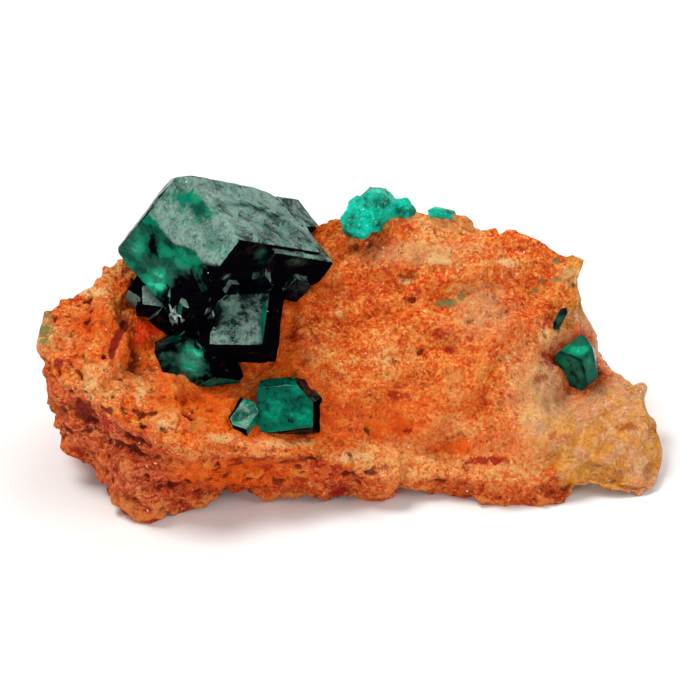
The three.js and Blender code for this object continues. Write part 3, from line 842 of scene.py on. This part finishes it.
def rockFinish():
    f = Finish("ironStainedRock")
    c = rockLook
    marked = {kind: f.painted(kind) for kind in marks}
    quartz, cliff, crystalNearness = f.painted("quartz"), f.painted("cliff"), f.painted("crystalNearness")
    patches = f.noise(0.11, 3, 0.6)
    mottle = f.noise(0.75, 6, 0.78)
    speck = f.noise(3.6, 4, 0.75)
    grains = f.grey(f.cells(4.5, "Color"))
    wisps = f.noise(0.7, 5, 0.7, f.stretched((0.5, 1, 1.4), (0.3, 0.5, 0.2)), 1.4)
    ragged = 2.6 * (f.noise(1.1, 5, 0.75, distortion=1) - 0.5) + 1.2 * (speck - 0.5)
    torn = 1 + 2 * ragged

    # the main face
    colour = f.layered(c["orange"], c, (
        (mottle + 0.4 * (patches - 0.5), 0.38, 0.66, 1, "salmon"),
        (0.6 - mottle + 0.9 * (0.5 - patches), 0.1, 0.35, 0.4, "rust"),
        (wisps, 0.56, 0.72, 0.55, "cream"),
        (speck, 0.55, 0.64, 0.55, "cream"),
        (0.45 - speck, 0, 0.1, 0.6, "rust"),
        (patches, 0.5, 0.6, 0.35, "pale"),
    ))

    # the broken front and the back: brown, pinkish at the left, streaked along the block
    streak = f.noise(0.9, 5, 0.65, f.stretched((0.3, 1, 1.7)), 0.8)
    c = {**c, "streaks": f.mixed(marked["pink"], c["tan"], c["pinkBrown"])}
    broken = f.layered(c["brown"], c, (
        (streak, 0.42, 0.58, 1, "streaks"),
        (streak, 0.6, 0.74, 0.6, "cream"),
        (0.45 - streak, 0, 0.14, 0.8, "darkRust"),
        (speck, 0.56, 0.72, 0.5, "cream"),
        (patches, 0.5, 0.66, 0.5, "orange"),
    ))
    colour = f.mixed(cliff * 0.85, colour, broken)

    # quartz with a yellow stain at the right end
    clear = f.layered(c["ochre"], c, (
        (mottle + 0.9 * (patches - 0.5), 0.46, 0.62, 1, "glassy"),
        (speck, 0.5, 0.7, 0.45, "cream"),
        (0.46 - mottle, 0, 0.12, 0.6, "amber"),
    ))
    colour = f.mixed(quartz * 0.92, colour, clear)

    # each grain has its own shade
    colour = f.mixed(0.9 - 0.4 * quartz, colour, f.mixed(grains, c["rust"], c["white"]), "SOFT_LIGHT")

    # marks, and vivid orange nearer the crystals with deep red right at them
    c = {**c, "vivid": f.layered(c["bright"], c, (
        (mottle, 0.5, 0.62, 0.45, "honey"),
        (0.48 - mottle, 0, 0.1, 0.55, "rust"),
    ))}
    colour = f.layered(colour, c, (
        (marked["pale"] + 0.8 * ragged, 0.2, 1, 0.5, "pale"),
        (marked["ledge"] + 0.7 * ragged, 0.15, 0.8, 0.88, "vivid"),
        (marked["warm"] * torn, 0.2, 1, 0.5, "warm"),
        (marked["cream"] * torn, 0.35, 0.9, 0.75, "cream"),
        (marked["amber"] * torn, 0.3, 0.8, 0.85, "amber"),
        (crystalNearness + ragged * 0.8, 0.3, 0.9, 0.8, "vivid"),
        (crystalNearness + ragged, 0.8, 1.1, 0.4, "deepRed"),
        (marked["red"] * torn, 0.3, 0.8, 0.85, "deepRed"),
        (marked["green"] * torn, 0.25, 0.7, 0.75, "green"),
    ))
    pocks = f.step(f.noise(1.1, 4, 0.65), 0.6, 0.66) * (1 - quartz)
    colour = f.mixed(pocks * 0.55, colour, c["deepRed"])

    # painted shade in the cavities, painted highlights on the ridges, and a few white painted glints
    colour = f.layered(colour, c, ((f.painted("ridgeHighlight") + 0.7 * ragged, 0.35, 0.95, 0.6, "salmon"),))
    pit = f.step(marked["pit"], 0.3, 0.7)
    hollow = f.step(f.painted("hollow") + 0.6 * ragged, 0.3, 0.8) * (1 - 0.75 * f.step(crystalNearness, 0.1, 0.5))
    colour = f.mixed(hollow * (1 - pit) * (1 - 0.8 * quartz) * 0.85, colour, c["darkRust"])
    colour = f.mixed(pit * 0.8, colour, c["pitRed"])
    colour = f.layered(colour, c, ((marked["groove"] * (1 + 0.3 * ragged), 0.25, 0.55, 0.9, "bloodRed"),))
    # painted glints: the middles of a few grains turn white and a little shinier
    middles = f.step(0.15 - f.cells(1.5, "Distance"), 0, 0.05)
    sparkle = f.step(f.grey(f.cells(1.5, "Color")), 0.86, 0.9) * middles
    colour = f.mixed(sparkle * 0.8, colour, c["white"])

    normal = f.bump(f.noise(1.6, 7, 0.72) - 0.3 * pocks, c["relief"])
    normal = f.bump(f.cells(4.2, "Distance"), c["fineGrain"], normal)
    stone = f.principled({
        "Base Color": colour, "Roughness": c["roughness"] - c["sparkleShine"] * sparkle, "Normal": normal,
        "IOR": 1.5, "Specular IOR Level": c["specular"],
    })
    glassy = f.principled({
        "Base Color": colour, "Roughness": c["quartzRoughness"], "IOR": 1.54,
        "Normal": f.bump(f.cells(1.1, "Distance"), c["quartzFacets"], normal),
    })
    return f.finished(f.blended(quartz * c["quartzShare"], stone, glassy))


dioptaseLook = {
    "dark": (0, 12, 20), "teal": (0, 108, 85), "bright": (0, 172, 128), "flash": (60, 240, 200),
    "unlit": (5, 4, 8), "glint": (250, 255, 252), "filmAndSheen": (136, 168, 156), "brownFilm": (112, 110, 108),
    "greenFilm": (40, 106, 92), "paleFilmAndSheen": (196, 218, 208), "darkFilm": (20, 60, 56),
    "ior": 1.42, "specular": 0.1, "transmission": 0.3, "absorption": (0, 0.86, 0.8, 1), "density": 1500,
    "filmRoughness": 0.42, "filmThickest": 0.76, "glintThickest": 0.9,
    "scratchDepth": 0.03, "fineDepth": 0.02, "filmDepth": 0.06,
}


def dioptaseFinish():
    f = Finish("dioptase")
    c = dioptaseLook
    filmAndSheen, paintedGlow, shade, broken = (f.painted(name) for name in ("filmAndSheen", "paintedGlow", "shade", "broken"))
    clouds = f.noise(0.5, 6, 0.75, distortion=0.5)
    fine = f.noise(2.2, 6, 0.75)
    scratches = f.noise(1.4, 4, 0.7, f.stretched((0.35, 1, 1), (0.4, 0.5, 0.7)))

    # the clear body: green veils inside, lightened by the painted glow each face is given, with painted
    # bright flashes where that glow is strongest
    inner = f.grey(f.cells(1.1, "Color", "SMOOTH_F1", f.stretched((0.7, 1, 1.5), (0.5, 0.9, 0.3))))
    veilsAndGlow = paintedGlow * (0.72 + 0.56 * f.step(inner, 0.3, 0.7)) + 1.6 * (clouds - 0.5) + 1.2 * (fine - 0.5)
    glass = f.principled({
        "Base Color": f.layered(c["dark"], c, (
            (veilsAndGlow, 0.1, 0.5, 1, "teal"),
            (veilsAndGlow, 0.5, 1, 1, "bright"),
            (veilsAndGlow + 0.8 * (scratches - 0.5), 1, 1.3, 0.7, "flash"),
        )),
        "Roughness": f.step(clouds, 0.3, 0.8) * 0.22 + 0.05,
        "Normal": f.bump(fine, c["fineDepth"], f.bump(scratches, c["scratchDepth"])),
        "IOR": c["ior"], "Transmission Weight": c["transmission"], "Specular IOR Level": c["specular"],
    })

    # painted shade: a dark dull surface that gives nothing back, laid over the shaded faces and the gaps
    # between the broken shards, broken up by noise
    shards = f.grey(f.cells(1.6, "Color", at=f.stretched((1.3, 0.9, 0.7), (0.5, 0.9, 0.3))))
    unlit = f.principled({"Base Color": c["unlit"], "Roughness": 0.6, "IOR": 1})
    shadeNoise = 1 + 3 * (clouds - 0.5) + 2 * (fine - 0.5)
    dark = f.step((shade + broken * (1.1 - 1.6 * shards)) * shadeNoise, 0.2, 0.65)
    body = f.blended(dark, glass, unlit)

    # the dull film on it, partly frosting and partly painted sheen and reflections, with a few painted glints
    drift = f.noise(0.33, 5, 0.7, distortion=1.2)
    flecks = f.noise(4.5, 4, 0.8)
    dustAndSheen = f.layered(c["filmAndSheen"], c, (
        (drift + 0.8 * (fine - 0.5), 0.44, 0.6, 0.7, "greenFilm"),
        (scratches, 0.5, 0.7, 0.6, "brownFilm"),
        (flecks, 0.54, 0.66, 0.45, "paleFilmAndSheen"),
        (0.48 - flecks, 0, 0.1, 0.45, "darkFilm"),
    ))
    glints = f.step(f.grey(f.cells(1.7, "Color")), 0.93, 0.95)
    glints = glints * f.step(0.11 - f.cells(1.7, "Distance"), 0, 0.03)
    dustAndSheen = f.mixed(glints, dustAndSheen, c["glint"])
    # painted reflections off the shiny broken shards
    dustAndSheen = f.mixed(broken * f.step(shards, 0.55, 0.8), dustAndSheen, c["paleFilmAndSheen"])
    dull = f.principled({
        "Base Color": dustAndSheen, "Roughness": c["filmRoughness"], "Normal": f.bump(fine, c["filmDepth"]),
        "IOR": 1.5,
    })
    blotches = f.step(clouds, 0.4, 0.6)
    ragged = 0.75 * (blotches - 0.5) + 1.6 * (fine - 0.5) + 0.6 * (scratches - 0.5)
    # more painted sheen on the broken shards, and none in the gaps between them
    filmAndSheen = filmAndSheen + broken * (3.4 * shards - 2.4)
    amount = f.step(filmAndSheen * (1 + 0.95 * ragged) + 0.15 * ragged, 0.2, 1) * c["filmThickest"]
    amount = amount + glints * (c["glintThickest"] - amount)
    absorbing = f.node("ShaderNodeVolumeAbsorption", {}, {"Color": c["absorption"], "Density": c["density"]})
    f.finished(absorbing, "Volume")
    return f.finished(f.blended(amount, body, dull))


turquoiseLook = {
    "deep": (0, 92, 70), "base": (0, 186, 154), "light": (0, 228, 198),
    "white": (200, 255, 240), "roughness": 0.22, "ior": 1.4, "specular": 0.2, "grainDepth": 0.18,
}


def turquoiseFinish():
    f = Finish("turquoiseCrust")
    c = turquoiseLook
    mottle = f.noise(0.7, 5, 0.6)
    fine = f.noise(4.5, 4, 0.7)
    # the fine deep spots are painted shade in the grain's pits and the white flecks painted highlights on its
    # peaks
    colour = f.layered(c["deep"], c, (
        (mottle, 0.36, 0.52, 1, "base"),
        (mottle, 0.52, 0.66, 0.8, "light"),
        (0.44 - fine, 0, 0.08, 0.6, "deep"),
        (fine, 0.63, 0.67, 0.7, "white"),
    ))
    return f.finished(f.principled({
        "Base Color": colour, "Roughness": c["roughness"], "Normal": f.bump(fine, c["grainDepth"]),
        "IOR": c["ior"], "Specular IOR Level": c["specular"],
    }))


def floorFinish():
    f = Finish("paleFloor")
    return f.finished(f.principled({"Base Color": floor["colour"], "Roughness": 0.9}))


# How much dull film and painted sheen, painted glow in the body and painted shade a face shows, by its number
# in crystalPlanes; rim adds painted shade along the edges.
faceLooks = {
    "big": {"filmAndSheen": {0: 0.85, 2: 0.95, 13: 0.95, 7: 0.6}, "paintedGlow": {0: 0.3, 2: 0.62, 13: 0.62},
            "shade": {2: 0.36, 13: 0.36, 0: 0.3, 4: 0.8}},
    "rightTwin": {"filmAndSheen": {0: 0.75}, "paintedGlow": {0: 0.2}, "shade": {2: 0.8, 4: 0.8, 8: 0.8, 9: 0.8}},
    "squareFaced": {"filmAndSheen": {2: 0.56, 7: 0.3}, "paintedGlow": {2: 0.25},
                    "shade": {2: 0.3, 0: 0.9, 4: 0.9, 6: 0.9, 8: 0.7}},
    "teal": {"filmAndSheen": {0: 0.2, 11: 0.15}, "paintedGlow": {0: 0.55, 4: 0.65, 9: 0.4},
             "shade": {0: 0.48, 4: 0.48, 10: 0.8, 11: 0.5}, "rim": 0.15},
    "pairRight": {"filmAndSheen": {12: 0.3}, "paintedGlow": {2: 0.62, 7: 0.6},
                  "shade": {2: 0.12, 7: 0.12, 0: 0.9, 6: 0.8, 12: 0.5, 4: 0.3}, "rim": 0.2},
    "pairLeft": {"filmAndSheen": {2: 0.5}, "paintedGlow": {2: 0.7, 0: 0.5, 7: 0.5},
                 "shade": {2: 0.1, 4: 0.5, 8: 0.7, 9: 0.7}, "rim": 0.2},
    "rightOne": {"paintedGlow": {0: 0.7, 2: 0.5, 4: 0.7}, "shade": {0: 0.12, 2: 0.22, 4: 0.12}, "rim": 0.22},
    "rightBud1": {"filmAndSheen": {0: 1.3, 2: 1}},
    "rightBud2": {"filmAndSheen": {0: 1.1, 2: 0.5}},
    "rightBud3": {"filmAndSheen": {0: 0.8, 2: 0.5}},
    "leftBud1": {"filmAndSheen": {4: 1}},
    "leftBud2": {"filmAndSheen": {0: 1}},
    "leftBud3": {"filmAndSheen": {2: 1}},
    "leftBud5": {"filmAndSheen": {0: 0.9}},
    "shoulderLarge": {"filmAndSheen": {0: 0.7}},
    "edgeOne": {"paintedGlow": {side: 0.2 for side in range(12)}, "shade": {0: 0}},
}
plain = {"filmAndSheen": 0, "paintedGlow": 0.12, "shade": 0}
budShade = 0.6  # for the crystals that have no shade of their own
rimWidth = 0.8  # the shaded rim along a face's edges
# Patches of film and painted sheen, painted glow and painted shade, placed by x and by height up the slope:
# x, height, half width, half height and amount.
patches = {
    "filmAndSheen": ((-12.9, 20.3, 1.1, 0.7, -0.55), (-12, 19.3, 0.8, 0.8, -0.7), (-17.6, 16.2, 0.8, 0.9, 0.3),
             (-14.6, 20.6, 1.6, 0.6, -0.4), (-9.7, 13.9, 0.5, 0.5, 0.5), (-6.8, 10.4, 0.3, 2, -0.6),
             (-8.4, 19.85, 0.9, 0.2, -0.6), (-7.1, 19.55, 0.8, 0.22, -0.7), (-5.7, 19.1, 0.9, 0.2, -0.7),
             (-10.2, 19.7, 1.6, 0.8, -0.35), (-10.4, 17.4, 1.1, 0.8, 0.3), (-10.6, 15.6, 0.9, 0.7, 0.5),
             (-6.5, 17.4, 2, 1.2, -0.25)),
    "paintedGlow": ((-17, 16.5, 0.5, 0.4, 0.35), (-13.6, 15.4, 1.5, 0.9, 0.15), (-15, 13.7, 1, 0.7, 0.5),
             (-12.3, 19.8, 0.9, 1.1, 0.2), (-9.7, 16.3, 1.4, 0.5, 0.2), (-7, 15.8, 0.9, 1, 0.25),
             (-4.2, 15.4, 1.4, 0.5, 0.2), (-12.6, 7.1, 0.7, 0.5, 0.5), (-12, 8.2, 0.4, 0.35, 0.9),
             (-6.8, 10.4, 0.3, 2, 0.4)),
    "shade": ((-7, 15.9, 0.7, 0.9, -0.45), (-4.2, 15.3, 1.4, 0.45, -0.5), (-15.6, 16.4, 0.35, 1.1, 0.4),
              (-12.6, 7.6, 0.8, 0.9, -0.6), (-12.8, 13.2, 2.2, 1.4, 0.4), (-11, 14.6, 0.7, 1.2, 0.3),
              (-15, 13.7, 1.1, 0.8, -0.5)),
}
# Below this line the big crystal's left face is clear.
filmEdge = {
    "x": (-16.1, -15.4, -14.8, -13.9, -12.8, -11.6, -10.3),
    "height": (19.3, 18.5, 17.7, 16.8, 16.5, 15.3, 15.3), "soft": 0.4,
}


def paintFaces(piece, crystals):
    # each vertex takes the film and painted sheen, painted glow and painted shade of the face it lies on: on
    # the nearest crystal, the plane furthest out
    points = np.empty(len(piece.data.vertices) * 3, np.float32)
    piece.data.vertices.foreach_get("co", points)
    points = points.reshape(-1, 3).astype(float) / millimetre
    height = points @ upFront
    over = height - np.interp(points[:, 0], filmEdge["x"], filmEdge["height"])
    hazy = between(over, -filmEdge["soft"], filmEdge["soft"])
    hazy = np.where(points[:, 0] < filmEdge["x"][-1], hazy, 1)
    nearest = np.full(len(points), 99.0)
    amounts = {kind: np.zeros(len(points)) for kind in plain}
    for key, crystal in crystals.items():
        look = faceLooks.get(key, {})
        normals, distances = crystalPlanes(crystal)
        middle = facesInside(normals, distances)[0].mean(0)
        depths = distances - normals @ middle
        share = (points - middle) @ normals.T / depths
        away = np.abs(share.max(1) - 1) * depths.mean()
        closer = away < nearest
        second = np.partition(share, -2, axis=1)[:, -2]
        rim = 1 - between((share.max(1) - second) * depths.mean(), 0, rimWidth)
        for kind, amount in amounts.items():
            ordinary = budShade if kind == "shade" and kind not in look else plain[kind]
            mine = look.get(kind, {})
            strength = np.array([mine.get(number, ordinary) for number in range(len(normals))])
            here = strength[share.argmax(1)]
            if kind == "shade":
                here = here + look.get("rim", 0) * rim
            if key == "big" and kind == "filmAndSheen":
                here = here * hazy
            amount[closer] = here[closer]
        nearest[closer] = away[closer]
    away = np.linalg.norm(points - crystalFinish["brokenAt"], axis=1)
    paint(piece, "broken", np.exp(-(away / crystalFinish["brokenRadius"]) ** 6))
    for kind, amount in amounts.items():
        for x, middle, width, tall, extra in patches[kind]:
            amount += extra * np.exp(-((points[:, 0] - x) / width) ** 2 - ((height - middle) / tall) ** 2)
        paint(piece, kind, amount)


def main():
    setStage()
    print("stage ready")
    settle(makeBlock(), "matrix", rockFinish())
    green = dioptaseFinish()
    groups = {
        "crystal_cluster": ("crystalCluster", cluster), "crystal_pair": ("crystalPair", pair),
        "right_crystal": ("rightCrystal", rightOne), "edge_crystal": ("edgeCrystal", edgeOne),
    }
    for node, (name, crystals) in groups.items():
        piece = grownPiece(name, crystals)
        paintFaces(piece, crystals)
        piece.data.set_sharp_from_angle(angle=math.radians(crystalFinish["creaseAngle"]))
        settle(piece, node, green)
    crust = turquoiseFinish()
    crest = grownPiece("crestCrystal", crestOne)
    settle(crest, "crest_crystal", crust)
    lump = makeTurquoise()
    lump.data.set_sharp_from_angle(angle=math.radians(turquoiseShape["creaseAngle"]))
    settle(lump, "turquoise_lump", crust)
    print("pieces ready")


main()
